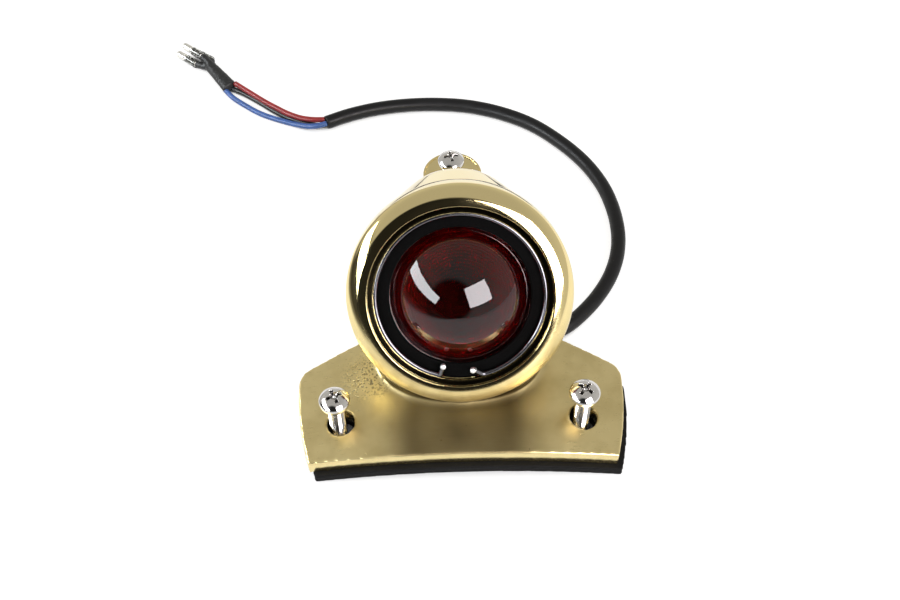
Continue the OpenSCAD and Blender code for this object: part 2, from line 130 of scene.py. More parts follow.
# Cable
SHEATH_R = 2.6
WIRE_R = 1.05
SHEATH_ROUTE = [
    (-4.5, -20.6, 26.4), (-4.5, -20.6, 22.9), (-3, -20.6, 15.6), (1.5, -19.4, 8.8), (8, -17.7, 4.3),
    (16, -15.5, 2.7), (24, -13.5, 2.7), (31, -11.5, 2.7), (37.5, -8, 2.7), (45, -0.5, 2.7),
    (50.5, 7, 2.7), (54.5, 14.5, 2.7), (57.5, 23.5, 2.7), (58.8, 33.5, 2.7), (58.2, 45, 2.7),
    (55.5, 57, 2.7), (50, 69, 2.7), (42, 80, 2.7), (32, 90, 2.7), (20.5, 97, 2.7),
    (8, 101.5, 2.7), (-4.5, 103.3, 2.7), (-17, 103.3, 2.7), (-29, 101.7, 2.7), (-40, 98.5, 2.7),
    (-49.7, 94.1, 2.7),
]
WIRE_ROUTES = {
    "red": [
        (-50.2, 95.1, 3.4), (-55, 95.2, 3.5), (-60, 96.6, 3.3), (-65, 99.2, 3.3),
        (-69.6, 102.5, 3.3), (-75, 106.7, 3.3), (-81.5, 112.4, 3.3), (-87.7, 117.9, 3.3),
    ],
    "black": [
        (-49.8, 94.1, 1.4), (-54, 94.4, 1.2), (-59, 96.2, 1.1), (-65.5, 99.4, 1.1),
        (-71.5, 103.7, 1.1), (-77, 108.4, 1.1), (-83.5, 113.6, 1.1), (-89.5, 117.6, 1.1),
    ],
    "blue": [
        (-49.3, 93, 3.3), (-53.5, 92.1, 2.9), (-58, 93.2, 2), (-63.5, 95.7, 1.2),
        (-71, 99, 1.1), (-77, 102.3, 1.1), (-82.3, 106.4, 1.1), (-88, 111.3, 1.3),
        (-91.8, 116, 1.6),
    ],
}
LEAD_ROUTES = {
    "red": [
        (-6.8, -22.3, 36), (-7.2, -19.8, 34.3), (-7, -18.4, 31.9), (-6, -19, 29.2),
        (-5.6, -20, 26.4),
    ],
    "black": [
        (-0.8, -22.3, 36), (-1, -19.6, 34.3), (-1.8, -18.1, 31.9), (-2.9, -18.8, 29.2),
        (-3.4, -20, 26.4),
    ],
    "blue": [
        (5.2, -22.3, 36), (4.8, -20, 34.4), (2, -19.4, 32.4), (-3, -21.2, 29.4),
        (-4.5, -21.9, 26.4),
    ],
}
BULLET_HEADING = math.radians(140)
BULLET_AT = {
    "red": (-99.2, 134.4, 1.75), "black": (-102.2, 133.3, 4.95), "blue": (-105.1, 132.2, 1.75),
}
BULLET_R = 1.5
BULLET_LEN = 11.6
PLUG_LEN = 6
SLEEVE_WALL = 0.2

# Studio: each soft box has its bearing and height in degrees, its size in metres and its colour
FLOOR_HALF = 2.5
BOX_DISTANCE = 0.6
SOFT_BOXES = {
    "left_box": (-74, 25, (0.86, 0.16), (0.93, 0.97, 1.0)),
    "right_box": (32, 31, (0.38, 0.34), (1.0, 0.95, 0.98)),
}


def colour(name, description, default):
    """A colour that the user can change."""
    return FloatVectorProperty(name=name, description=description, default=default, subtype="COLOR")


class TailLampStage(bpy.types.PropertyGroup):
    """Camera, floor and lights."""

    distance: FloatProperty(
        name="Distance", description="From the camera to the target", default=0.36, unit="LENGTH")
    elevation: FloatProperty(
        name="Elevation", description="Height of the camera above the horizon",
        default=math.radians(52), subtype="ANGLE")
    azimuth: FloatProperty(
        name="Azimuth", description="Turn of the camera round the lamp",
        default=math.radians(-1.3), subtype="ANGLE")
    roll: FloatProperty(
        name="Roll", description="Roll of the camera", default=math.radians(-0.4), subtype="ANGLE")
    target: FloatVectorProperty(
        name="Target", description="What the camera looks at",
        default=(-0.00355, -0.01395, 0.025), subtype="TRANSLATION")
    focal_length: FloatProperty(
        name="Focal Length", description="Lens of the camera in millimetres", default=44.8)
    floor_colour: colour("Floor", "Colour of the floor", (0.5, 0.5, 0.5))
    lamp_glow: FloatProperty(
        name="Lamp Glow", description="Brightness of the soft boxes in the gloss, white being 1",
        default=14)


class TailLampMetal(bpy.types.PropertyGroup):
    """Colours of the metals."""

    brass: colour("Brass", "Colour of clean brass", (0.90, 0.75, 0.38))
    dull_brass: colour("Dull Brass", "Colour of brass with a thin tarnish", (0.66, 0.53, 0.24))
    # Tarnish also serves as the colour of the painted shade in closed-in corners, under the rim and
    # inside its mouth.
    tarnish: colour("Tarnish", "Colour in the pits and corners", (0.065, 0.047, 0.02))
    chrome: colour("Screw Steel", "Colour of the plated screws", (0.78, 0.76, 0.74))
    spring: colour("Spring Steel", "Colour of the snap ring", (0.15, 0.148, 0.16))
    voxel: FloatProperty(
        name="Casting Detail", description="Size of the smallest detail of the casting",
        default=0.00045, unit="LENGTH", precision=5)


class TailLampLens(bpy.types.PropertyGroup):
    """The red bullseye lens."""

    glass: colour("Glass", "Colour that the glass lets through", (0.10, 0.001, 0.001))
    rings: IntProperty(name="Rings", description="Pressed rings on the back", default=20)
    ribs: IntProperty(name="Ribs", description="Fine ribs round the border", default=3)
    ring_depth: FloatProperty(
        name="Ring Depth", description="Depth of the pressed rings", default=0.0004,
        unit="LENGTH", precision=5)


class TailLampCable(bpy.types.PropertyGroup):
    """Colours of the cable and its wires."""

    sheath: colour("Sheath", "Colour of the sheath", (0.009, 0.009, 0.0105))
    red: colour("Red Wire", "Colour of the red wire", (0.66, 0.05, 0.05))
    black: colour("Black Wire", "Colour of the black wire", (0.03, 0.032, 0.034))
    blue: colour("Blue Wire", "Colour of the blue wire", (0.11, 0.27, 0.85))


class TailLampSettings(bpy.types.PropertyGroup):
    """All the lamp's settings."""

    stage: PointerProperty(type=TailLampStage)
    metal: PointerProperty(type=TailLampMetal)
    lens: PointerProperty(type=TailLampLens)
    cable: PointerProperty(type=TailLampCable)


# Shapes

def add_object(name, data):
    made = bpy.data.objects.new(name, data)
    bpy.context.scene.collection.objects.link(made)
    return made


def add_piece(name, points, faces, matrix=None, sharp=50):
    """A new smooth-shaded object in the scene, with its edges sharp beyond an angle."""
    mesh = bpy.data.meshes.new(name)
    mesh.from_pydata([tuple(p) for p in points], [], faces)
    if matrix is not None:
        mesh.transform(matrix)
    mesh.shade_smooth()
    mesh.set_sharp_from_angle(angle=math.radians(sharp))
    return add_object(name, mesh)


def fit_out(piece, slot, material, *replaced, body="lamp"):
    """Gives a piece its body, its material and the solids that it stands for; the slot is not used."""
    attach(piece, body)
    if replaced:
        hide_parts(*replaced)
    piece.data.materials.clear()
    piece.data.materials.append(material)
    return piece


def arc(centre, radius, start, end, steps):
    """Section points on a circle from one angle to another, in degrees."""
    angles = [math.radians(start + (end - start) * i / steps) for i in range(steps + 1)]
    return [(centre[0] + radius * math.cos(a), centre[1] + radius * math.sin(a)) for a in angles]


def rounded(corners, closed=False, steps=4):
    """Points through corners (x, y, ..., fillet), with each corner drawn as a short curve."""
    made = []
    for i, corner in enumerate(corners):
        here, fillet = Vector(corner[:-1]), corner[-1]
        if not fillet or (not closed and i in (0, len(corners) - 1)):
            made.append(tuple(here))
            continue
        before = Vector(corners[i - 1][:-1])
        after = Vector(corners[(i + 1) % len(corners)][:-1])
        start = here + (before - here).normalized() * fillet
        end = here + (after - here).normalized() * fillet
        for k in range(steps + 1):
            t = k / steps
            made.append(tuple(start * (1 - t) ** 2 + here * 2 * t * (1 - t) + end * t * t))
    return made


def turns(sides):
    """Even angles round a circle."""
    return [2 * math.pi * k / sides for k in range(sides)]


def tube_faces(rows, sides, first=0, flip=False):
    """Faces between the rows of points round a tube."""
    faces = []
    for low in range(first, first + (rows - 1) * sides, sides):
        for k in range(sides):
            j, up = (k + 1) % sides, low + sides
            face = [low + k, low + j, up + j, up + k]
            faces.append([face[0]] + face[:0:-1] if flip else face)
    return faces


def bar_faces(rows, sides):
    """Faces round a bar, and its two flat ends."""
    ends = [list(range(sides))[::-1], list(range((rows - 1) * sides, rows * sides))]
    return tube_faces(rows, sides) + ends


def lathe(name, section, matrix, segments=192, closed=False):
    """A turned piece: a section of (radius, height) in millimetres, swept round the Z axis."""
    points, rows, faces = [], [], []
    for radius, height in section:
        if radius < 1e-4:
            rows.append([len(points)])
            points.append(Vector((0, 0, height)) * MM)
            continue
        rows.append(range(len(points), len(points) + segments))
        points += [Vector((radius * math.cos(a), radius * math.sin(a), height)) * MM
                   for a in turns(segments)]
    for low, high in zip(rows, rows[1:] + ([rows[0]] if closed else [])):
        for i in range(segments):
            j = (i + 1) % segments
            face = [low[i % len(low)], low[j % len(low)], high[j % len(high)], high[i % len(high)]]
            faces.append(list(dict.fromkeys(face)))
    return add_piece(name, points, faces, matrix)


def smooth_path(route, steps=8):
    """A smooth path through the points of a route, in metres."""
    points = [Vector(p) * MM for p in route]
    points = [2 * points[0] - points[1]] + points + [2 * points[-1] - points[-2]]
    path = []
    for a, b, c, d in zip(points, points[1:], points[2:], points[3:]):
        for k in range(steps):
            t = k / steps
            path.append(0.5 * (2 * b + (c - a) * t + (2 * a - 5 * b + 4 * c - d) * t * t
                               + (3 * b - a - 3 * c + d) * t ** 3))
    return path + [points[-2]]


def sweep(name, path, radius, sides=24, end_chamfer=0.18):
    """A round bar along a path, with chamfered flat ends."""
    first, last = (path[1] - path[0]).normalized(), (path[-1] - path[-2]).normalized()
    inset = end_chamfer * radius
    stations = [(path[0], 1 - end_chamfer), (path[0] + first * inset, 1)]
    stations += [(p, 1) for p in path[1:-1]]
    stations += [(path[-1] - last * inset, 1), (path[-1], 1 - end_chamfer)]
    places = [p for p, _ in stations]
    side = first.orthogonal().normalized()
    points = []
    for i, (place, scale) in enumerate(stations):
        ahead = places[min(i + 1, len(places) - 1)] - places[max(i - 1, 0)]
        ahead.normalize()
        side = (side - ahead * side.dot(ahead)).normalized()
        other, r = ahead.cross(side), radius * scale
        points += [place + side * math.cos(a) * r + other * math.sin(a) * r for a in turns(sides)]
    return add_piece(name, points, bar_faces(len(stations), sides))


def dense_copy(name, node, voxel):
    """A new object with the solid's shape as an even mesh of small faces."""
    mesh = NODES[node].data.copy()
    welded = bmesh.new()
    welded.from_mesh(mesh)
    bmesh.ops.remove_doubles(welded, verts=welded.verts, dist=1e-6)
    welded.to_mesh(mesh)
    welded.free()
    piece = add_object(name, mesh)
    voxels = piece.modifiers.new("Voxels", "REMESH")
    voxels.mode = "VOXEL"
    voxels.voxel_size = voxel
    evaluated = piece.evaluated_get(bpy.context.evaluated_depsgraph_get())
    even = bpy.data.meshes.new_from_object(evaluated)
    piece.modifiers.clear()
    piece.data = even
    bpy.data.meshes.remove(mesh)
    even.name = name
    even.shade_smooth()
    return piece


def per_point(mesh, rows, key):
    """Three numbers for each point of a mesh, as an array."""
    values = np.empty(len(mesh.vertices) * 3, np.float32)
    rows.foreach_get(key, values)
    return values.reshape(-1, 3).astype(float)


def get_points(mesh):
    return per_point(mesh, mesh.vertices, "co")


def get_normals(mesh):
    return per_point(mesh, mesh.vertex_normals, "vector")


def set_points(mesh, points):
    mesh.vertices.foreach_set("co", points.astype(np.float32).ravel())
    mesh.update()


class Net:
    """The edges of a mesh, to average a value over each point's neighbours."""

    def __init__(self, mesh):
        ends = np.empty(len(mesh.edges) * 2, np.int32)
        mesh.edges.foreach_get("vertices", ends)
        self.a, self.b = ends.reshape(-1, 2).T
        self.count = len(mesh.vertices)
        self.degree = np.maximum(np.bincount(ends, minlength=self.count), 1)

    def mean(self, values):
        """The mean over each point's neighbours."""
        flat = values.reshape(self.count, -1)
        total = np.stack([
            np.bincount(self.a, column[self.b], self.count)
            + np.bincount(self.b, column[self.a], self.count) for column in flat.T], 1)
        return (total / self.degree[:, None]).reshape(values.shape)

    def blurred(self, values, rounds):
        """Values drawn halfway to their neighbours' mean, a number of times."""
        for _ in range(rounds):
            values = 0.5 * values + 0.5 * self.mean(values)
        return values

    def even_out(self, points, rounds):
        """Takes the fine ripple off a surface without shrinking it."""
        for _ in range(rounds):
            points = points + 0.5 * (self.mean(points) - points)
            points = points - 0.52 * (self.mean(points) - points)
        return points


def blend_step(value, low, high):
    """0 below low, 1 above high and smooth between, for numpy arrays."""
    t = np.clip((value - low) / (high - low), 0, 1)
    return t * t * (3 - 2 * t)


def ripple(points, scale, seed):
    """Even noise from -1 to 1 at each point, with lumps of about 1 / scale metres."""
    offset = Vector((seed, seed * 0.37, -seed))
    return np.array([noise.noise(Vector(p) * scale + offset) for p in points])


def lens_place(points):
    """Places on the lens in millimetres: across, up and out along its axis."""
    return ((points - np.array(LENS_CENTRE)) @ np.array(ON_AXIS.to_3x3())).T / MM


def put_value(mesh, name, values):
    """Stores a number per point for a material to read."""
    mesh.attributes.new(name, "FLOAT", "POINT")
    mesh.attributes[name].data.foreach_set("value", values.astype(np.float32))


# Node trees

def add_node(tree, kind, inputs=None, **settings):
    """A node with its settings and inputs; an input is a value or another node's socket."""
    made = tree.nodes.new(kind)
    for key, value in settings.items():
        setattr(made, key, value)
    for key, value in (inputs or {}).items():
        if isinstance(value, bpy.types.NodeSocket):
            tree.links.new(value, made.inputs[key])
        else:
            made.inputs[key].default_value = value
    return made


def mix(tree, factor, a, b):
    """A blend of two colours."""
    made = add_node(tree, "ShaderNodeMix", data_type="RGBA", blend_type="MIX")
    for socket, value in ((0, factor), (6, a), (7, b)):
        if isinstance(value, bpy.types.NodeSocket):
            tree.links.new(value, made.inputs[socket])
        else:
            made.inputs[socket].default_value = value if socket == 0 else (*value, 1)
    return made.outputs[2]


def calc(tree, operation, a, b=0.0, c=0.0):
    """A sum on one to three values."""
    return add_node(tree, "ShaderNodeMath", {0: a, 1: b, 2: c}, operation=operation).outputs[0]


def times(tree, a, b):
    return calc(tree, "MULTIPLY", a, b)


def dot(tree, a, b):
    return add_node(
        tree, "ShaderNodeVectorMath", {0: a, 1: b}, operation="DOT_PRODUCT").outputs["Value"]


def object_place(tree):
    return add_node(tree, "ShaderNodeTexCoord").outputs["Object"]


def point_value(tree, name):
    """A number that the mesh stores per point."""
    return add_node(tree, "ShaderNodeAttribute", attribute_name=name).outputs["Fac"]


def remap(tree, value, low, high, to_low=0.0, to_high=1.0):
    """A value taken smoothly from one range to another."""
    made = add_node(tree, "ShaderNodeMapRange", {
        "Value": value, "From Min": low, "From Max": high, "To Min": to_low, "To Max": to_high},
        interpolation_type="SMOOTHSTEP")
    return made.outputs[0]


def stretched(tree, scale):
    """Coordinates of the part, stretched by a scale vector or socket."""
    return add_node(tree, "ShaderNodeVectorMath", {0: object_place(tree), 1: scale},
                    operation="MULTIPLY").outputs[0]


def new_group(name, inputs, outputs):
    """A shader group with inputs (name, default), floats or vectors, and float outputs."""
    group = bpy.data.node_groups.new(name, "ShaderNodeTree")
    for label, value in inputs:
        kind = "NodeSocketVector" if isinstance(value, tuple) else "NodeSocketFloat"
        socket = group.interface.new_socket(label, in_out="INPUT", socket_type=kind)
        socket.default_value = value
    for label in outputs:
        group.interface.new_socket(label, in_out="OUTPUT", socket_type="NodeSocketFloat")
    return group, group.nodes.new("NodeGroupInput"), group.nodes.new("NodeGroupOutput")


def make_edge_wear():
    """Mask of rubbed edges: where a rounded normal leaves the true one, broken up by noise."""
    group, given, out = new_group("Edge Wear", [("Radius", 0.0006), ("Amount", 1.0)], ["Mask"])
    soft = add_node(group, "ShaderNodeBevel", {"Radius": given.outputs["Radius"]}, samples=6)
    true = add_node(group, "ShaderNodeNewGeometry")
    same = dot(group, soft.outputs[0], true.outputs["Normal"])
    edge = remap(group, calc(group, "SUBTRACT", 1.0, same), 0.01, 0.12)
    rough = add_node(group, "ShaderNodeTexNoise", {
        "Vector": object_place(group), "Scale": 900.0, "Detail": 4.0})
    broken = remap(group, rough.outputs["Fac"], 0.3, 0.6, 0.35, 1.0)
    mask = times(group, times(group, edge, broken), given.outputs["Amount"])
    group.links.new(mask, out.inputs["Mask"])
    return group


def make_grain():
    """Streaks or grain: noise that is stretched by the scale along each axis."""
    group, given, out = new_group(
        "Grain", [("Scale", (1000.0, 1000.0, 1000.0)), ("Detail", 3.0)], ["Value"])
    rough = add_node(group, "ShaderNodeTexNoise", {
        "Vector": stretched(group, given.outputs["Scale"]), "Scale": 1.0,
        "Detail": given.outputs["Detail"], "Roughness": 0.6})
    group.links.new(rough.outputs["Fac"], out.inputs["Value"])
    return group


def make_pits():
    """Round pits of mixed sizes: Share says how many of the cells hold one."""
    group, given, out = new_group(
        "Pits", [("Scale", 300.0), ("Size", 0.12), ("Share", 0.2)], ["Mask"])
    cells = add_node(group, "ShaderNodeTexVoronoi", {
        "Vector": object_place(group), "Scale": given.outputs["Scale"]}, feature="F1")
    tint = add_node(group, "ShaderNodeSeparateColor", {"Color": cells.outputs["Color"]})
    chosen = calc(group, "LESS_THAN", tint.outputs[0], given.outputs["Share"])
    reach = times(group, given.outputs["Size"], calc(group, "ADD", 0.4, tint.outputs[1]))
    pit = remap(group, calc(group, "DIVIDE", cells.outputs["Distance"], reach), 1.0, 0.55)
    group.links.new(times(group, pit, chosen), out.inputs["Mask"])
    return group


def make_painted_corner_shade():
    """Mask for painted shade in closed-in corners, read from ambient occlusion."""
    group, given, out = new_group("Corner Grime", [("Reach", 0.003)], ["Mask"])
    shade = add_node(group, "ShaderNodeAmbientOcclusion", {"Distance": given.outputs["Reach"]},
                     samples=6)
    group.links.new(remap(group, shade.outputs["AO"], 0.75, 0.3), out.inputs["Mask"])
    return group


GROUP_MAKERS = {"Edge Wear": make_edge_wear, "Grain": make_grain, "Pits": make_pits,
                "Corner Grime": make_painted_corner_shade}


def effect(tree, name, **values):
    """Places a shared group with its own values and gives its first output."""
    group = bpy.data.node_groups.get(name) or GROUP_MAKERS[name]()
    made = add_node(tree, "ShaderNodeGroup", node_tree=group)
    for key, value in values.items():
        made.inputs[key.title()].default_value = value
    return made.outputs[0]


def grain(tree, scale, detail=3.0):
    """Noise of one scale, or stretched by a scale along each axis."""
    scale = scale if isinstance(scale, tuple) else (scale, scale, scale)
    return effect(tree, "Grain", scale=scale, detail=detail)


# Materials

def new_material(name, **settings):
    """A material with a Principled shader whose plain values are set on its own sockets."""
    material = bpy.data.materials.new(name)
    material.use_nodes = True
    tree = material.node_tree
    shader = tree.nodes["Principled BSDF"]
    for key, value in settings.items():
        shader.inputs[key.replace("_", " ").title().replace("Ior", "IOR")].default_value = value
    return material, tree, shader


def bump(tree, shader, height, distance):
    """Feeds a height to the shader's normal; distance is in metres."""
    made = add_node(tree, "ShaderNodeBump", {"Height": height, "Distance": distance})
    tree.links.new(made.outputs[0], shader.inputs["Normal"])


def coat(tree, shader, tone, roughness):
    """Feeds the shader's colour and roughness."""
    tree.links.new(tone, shader.inputs["Base Color"])
    tree.links.new(roughness, shader.inputs["Roughness"])


def brass_material(metal):
    """Cast brass, polished where the point values satin, grit and painted shade are 0.

    Satin leaves it filed and duller, grit covers it with sand pits, and painted shade makes it brown
    and, where it is satin, rougher.
    """
    material, tree, shader = new_material("cast_brass", metallic=1.0)
    satin, grit, unpolished = (point_value(tree, n) for n in ("satin", "grit", "unpolished"))
    clouds = grain(tree, 70.0)
    streaks = grain(tree, (130.0, 2600.0, 1500.0))
    fine = grain(tree, 1500.0)
    pits = effect(tree, "Pits", scale=260.0, size=0.075, share=0.09)
    sand = effect(tree, "Pits", scale=1300.0, size=0.6, share=0.85)
    wear = effect(tree, "Edge Wear", radius=0.0009)
    painted_corner_shade = effect(tree, "Corner Grime", reach=0.003)
    hollow = calc(tree, "MAXIMUM", pits, times(tree, sand, grit))
    dull = times(tree, satin, remap(tree, clouds, 0.35, 0.65, 0.25, 0.75))
    tone = mix(tree, dull, metal.brass, metal.dull_brass)
    # Painted shade: closed-in corners and the places that the rim overhangs are darkened to the tarnish
    # colour.
    tone = mix(tree, calc(tree, "MAXIMUM", times(tree, painted_corner_shade, 0.5), unpolished), tone, metal.tarnish)
    tone = mix(tree, times(tree, hollow, 0.8), tone, metal.tarnish)
    tone = mix(tree, times(tree, wear, 0.8), tone, metal.brass)
    shine = calc(tree, "MULTIPLY_ADD", clouds, 0.10, 0.02)
    matt = calc(tree, "MULTIPLY_ADD", streaks, 0.16, 0.22)
    rough = calc(tree, "MULTIPLY_ADD", calc(tree, "SUBTRACT", matt, shine), satin, shine)
    rough = calc(tree, "MULTIPLY_ADD", hollow, 0.3, rough)
    rough = calc(tree, "MULTIPLY_ADD", times(tree, unpolished, satin), 0.3, rough)
    coat(tree, shader, tone, rough)
    height = times(tree, times(tree, streaks, satin), 0.16)
    height = calc(tree, "MULTIPLY_ADD", fine, 0.03, height)
    height = calc(tree, "MULTIPLY_ADD", hollow, -1.0, height)
    bump(tree, shader, height, 0.00006)
    return material


def steel_material(name, tint, roughness, wear_amount):
    """Plated or blued steel with handling marks."""
    material, tree, shader = new_material(name, metallic=1.0)
    clouds = grain(tree, 400.0)
    scratches = grain(tree, (5200.0, 700.0, 5200.0), 2.0)
    wear = effect(tree, "Edge Wear", radius=0.0003, amount=wear_amount)
    painted_corner_shade = effect(tree, "Corner Grime", reach=0.0016)
    tone = mix(tree, remap(tree, clouds, 0.3, 0.7, 0.0, 0.35), tint, tuple(0.6 * c for c in tint))
    # Painted shade: closed-in corners, such as a screw's cross recess, are darkened near black.
    tone = mix(tree, times(tree, painted_corner_shade, 0.85), tone, (0.03, 0.028, 0.025))
    tone = mix(tree, wear, tone, (0.85, 0.84, 0.82))
    coat(tree, shader, tone, remap(tree, clouds, 0.3, 0.7, roughness, roughness + 0.1))
    bump(tree, shader, scratches, 0.000004)
    return material


def rubber_material(name, tint, roughness, gloss):
    """Moulded rubber with a fine skin, pale dust and rubbed edges."""
    material, tree, shader = new_material(name, specular_ior_level=gloss)
    clouds = grain(tree, 120.0)
    skin = grain(tree, 3200.0, 5.0)
    wear = effect(tree, "Edge Wear", radius=0.0007, amount=0.5)
    pale = tuple(0.05 * gloss + 1.4 * c for c in tint)
    tone = mix(tree, remap(tree, clouds, 0.35, 0.75, 0.0, 0.35), tint, pale)
    tone = mix(tree, wear, tone, pale)
    coat(tree, shader, tone, remap(tree, skin, 0.3, 0.7, roughness - 0.08, roughness + 0.14))
    bump(tree, shader, skin, 0.00003)
    return material


def insulation_material(name, tint, roughness, gloss=0.5):
    """Plastic insulation: a soft sheen, faint draw lines and scuffs."""
    material, tree, shader = new_material(name, specular_ior_level=gloss)
    clouds = grain(tree, 260.0)
    skin = grain(tree, 2400.0, 4.0)
    scuffs = effect(tree, "Pits", scale=420.0, size=0.16, share=0.12)
    tone = mix(tree, remap(tree, clouds, 0.3, 0.7, 0.0, 0.4), tint, tuple(0.55 * c for c in tint))
    scuffed = tuple(min(1.0, 0.08 + 1.2 * c) for c in tint)
    tone = mix(tree, times(tree, scuffs, 0.25), tone, scuffed)
    coat(tree, shader, tone, remap(tree, clouds, 0.3, 0.7, roughness, roughness + 0.16))
    bump(tree, shader, calc(tree, "MULTIPLY_ADD", scuffs, -0.5, skin), 0.000012)
    return material


def glass_material(name, tint, facets):
    """Red glass, clear in front, with painted light: deep in the middle and brighter at its border;
    small facets cover its back.
    """
    material, tree, shader = new_material(name, transmission_weight=1.0, ior=1.5)
    # Painted light: a deep tint in the middle and three times the tint at the border.
    deep, bright = (tuple(share * c for c in tint) for share in (0.13, 3))
    coat(tree, shader, mix(tree, point_value(tree, "border"), deep, bright),
         remap(tree, grain(tree, 300.0), 0.35, 0.75, 0.0, 0.03))
    if facets:
        cells = add_node(tree, "ShaderNodeTexVoronoi", {
            "Vector": object_place(tree), "Scale": 1900.0, "Randomness": 0.35}, feature="F1")
        bump(tree, shader, cells.outputs["Distance"], 0.00018)
    else:
        bump(tree, shader, grain(tree, (900.0, 260.0, 260.0), 5.0), 0.000006)
    clear = add_node(tree, "ShaderNodeBsdfTransparent", {"Color": (0.7, 0.05, 0.04, 1)})
    path = add_node(tree, "ShaderNodeLightPath")
    either = add_node(tree, "ShaderNodeMixShader", {
        0: path.outputs["Is Shadow Ray"], 1: shader.outputs[0], 2: clear.outputs[0]})
    tree.links.new(either.outputs[0], tree.nodes["Material Output"].inputs["Surface"])
    return material


def clear_material(name, tint, roughness):
    """Clear or tinted plastic."""
    material, tree, shader = new_material(
        name, base_color=(*tint, 1), transmission_weight=1.0, ior=1.42)
    haze = grain(tree, 1200.0)
    tree.links.new(remap(tree, haze, 0.3, 0.7, roughness, roughness + 0.12),
                   shader.inputs["Roughness"])
    bump(tree, shader, haze, 0.00002)
    return material


def board_material():
    """Green lacquer over copper tracks."""
    material, tree, shader = new_material("board_lacquer", specular_ior_level=0.5)
    place = stretched(tree, (260.0, 260.0, 0.0))
    tracks = add_node(tree, "ShaderNodeTexBrick", {
        "Vector": place, "Scale": 1.0, "Mortar Size": 0.06, "Color1": (0.006, 0.05, 0.02, 1),
        "Color2": (0.01, 0.075, 0.03, 1), "Mortar": (0.12, 0.16, 0.04, 1)})
    coat(tree, shader, tracks.outputs["Color"],
         remap(tree, grain(tree, 1800.0), 0.3, 0.7, 0.25, 0.45))
    bump(tree, shader, tracks.outputs["Fac"], 0.00003)
    return material


def stage_material(tint):
    """Pale floor that shows white to the eye and in the metal, and keeps the lamp's shadow.

    It is dark far out on the left, and has painted shade where the lamp closes it in.
    """
    material, tree, shader = new_material("floor_paper", roughness=0.9)
    bump(tree, shader, grain(tree, 500.0), 0.00002)
    path = add_node(tree, "ShaderNodeLightPath")
    across = add_node(tree, "ShaderNodeSeparateXYZ", {0: object_place(tree)}).outputs["X"]
    # Darker far out on the left, in its colour and in the metal's reflections.
    pale_part = remap(tree, across, -0.30, -0.13)
    inside = calc(tree, "MAXIMUM", path.outputs["Is Glossy Ray"], path.outputs["Is Transmission Ray"])
    inside = times(tree, inside, times(tree, pale_part, 0.88))
    seen = calc(tree, "MAXIMUM", path.outputs["Is Camera Ray"], inside)
    seen = times(tree, seen, remap(tree, pale_part, 0.0, 1.0, 1.2, 1.0))
    # Painted shade: where the lamp closes the floor in, ambient occlusion turns its colour near black
    # and its glow off.
    above = add_node(tree, "ShaderNodeAmbientOcclusion", {"Distance": 0.03}, samples=8)
    open_air = remap(tree, above.outputs["AO"], 0.14, 0.3)
    tone = mix(tree, pale_part, (0.12, 0.11, 0.10), tint)
    tree.links.new(mix(tree, open_air, (0.02, 0.02, 0.02), tone), shader.inputs["Base Color"])
    tree.links.new(times(tree, seen, open_air), shader.inputs["Emission Strength"])
    shader.inputs["Emission Color"].default_value = (0.84, 0.84, 0.84, 1)
    return material


# Operators, one for each piece or group of like pieces

